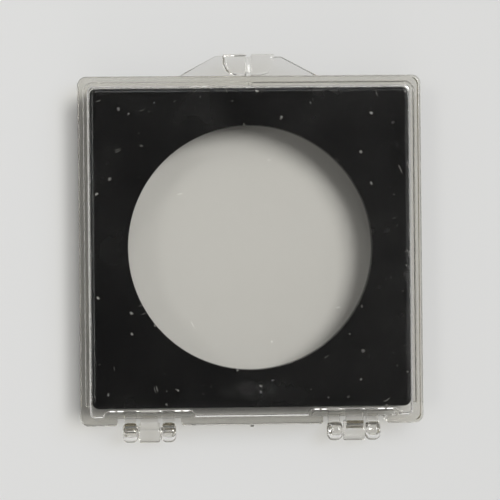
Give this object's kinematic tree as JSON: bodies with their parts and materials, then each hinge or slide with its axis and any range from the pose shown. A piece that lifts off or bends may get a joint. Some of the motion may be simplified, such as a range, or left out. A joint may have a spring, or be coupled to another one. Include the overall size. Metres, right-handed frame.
{
  "type": "snap lock coin case",
  "caption": "Flat square clear plastic coin case with a hinged lid, a snap latch and thumb tabs, around a black insert with a round see-through hole that holds one coin.",
  "frame": {"origin": "on the rear shell's outer face, under the middle of the coin hole; the case lies flat on this face", "axes": "+Z out of the front shell, +Y from the hinge edge to the latch edge, +X to the right seen from the front"},
  "size_m": [0.0538, 0.0609, 0.0064],
  "materials": {
    "clear_plastic": "clear polystyrene, polished",
    "insert_black": "black, fine matte grain"
  },
  "bodies": {
    "base": {"rear_shell": "clear_plastic", "coin_insert": "insert_black"},
    "lid": {"front_shell": "clear_plastic"}
  },
  "joints": [
    {"name": "lid_hinge", "type": "hinge", "parent": "base", "child": "lid", "pos_m": [0, -0.02895, 0.0032], "axis": [1, 0, 0], "range_deg": [0, 180]}
  ]
}
